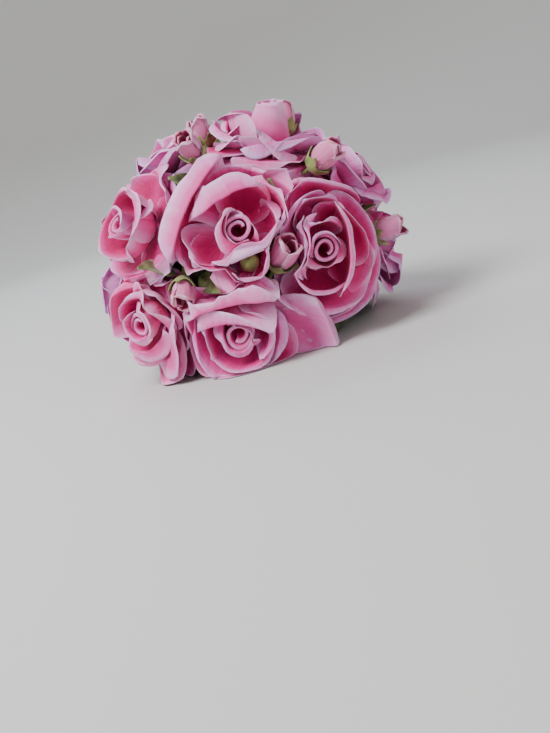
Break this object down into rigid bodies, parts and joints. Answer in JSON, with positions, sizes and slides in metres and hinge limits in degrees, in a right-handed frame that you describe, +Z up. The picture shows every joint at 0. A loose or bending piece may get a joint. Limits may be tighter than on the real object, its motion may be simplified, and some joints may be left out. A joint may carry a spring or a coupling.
{
  "type": "floral bouffant hat",
  "caption": "Tall rounded hat: a hollow fabric cap covered all over with large pink silk roses, rosebuds in green calyxes and leaves, open below for the head.",
  "frame": {"origin": "on the surface that the hat rests on, under the middle of the whole hat's outline", "axes": "+X towards the front of the hat, over the forehead; +Y towards the wearer's left; +Z up"},
  "size_m": [0.28, 0.253, 0.2167],
  "materials": {
    "cap": "matt stiffened net",
    "petals": "matt dyed silk, deep pink at the foot and pale at the rim",
    "buds": "matt dyed silk, pale pink",
    "greens": "matt dyed cotton, yellow-green to olive"
  },
  "bodies": {
    "root": {"cap": "cap", "bud_top_back": "buds", "calyx_top_back": "greens", "bud_upper_back": "buds", "calyx_upper_back": "greens", "bud_hanging": "buds", "calyx_hanging": "greens", "bud_side": "buds", "calyx_side": "greens", "bud_green_high": "buds", "calyx_green_high": "greens", "bud_green_low": "buds", "calyx_green_low": "greens", "bud_front_upper": "buds", "calyx_front_upper": "greens", "bud_front": "buds", "calyx_front": "greens", "bud_top_front": "buds", "calyx_top_front": "greens", "bud_left_front": "buds", "calyx_left_front": "greens", "bud_left_upper": "buds", "calyx_left_upper": "greens", "bud_left_back": "buds", "calyx_left_back": "greens", "bud_back": "buds", "calyx_back": "greens", "leaf_upper_back": "greens", "leaf_back_pair_high": "greens", "leaf_back_pair_low": "greens", "leaf_side": "greens", "leaf_front_upper": "greens", "leaf_front": "greens", "leaf_left_front": "greens", "leaf_left_back": "greens", "rose_top": "petals", "rose_right_middle": "petals", "rose_right_front": "petals", "rose_right_low": "petals", "rose_right_back": "petals", "rose_right_upper": "petals", "rose_front_upper": "petals", "rose_front_low": "petals", "rose_left_front": "petals", "rose_left_middle": "petals", "rose_left_low": "petals", "rose_left_back": "petals", "rose_left_upper": "petals", "rose_back": "petals", "rose_top_back": "petals"}
  },
  "joints": []
}
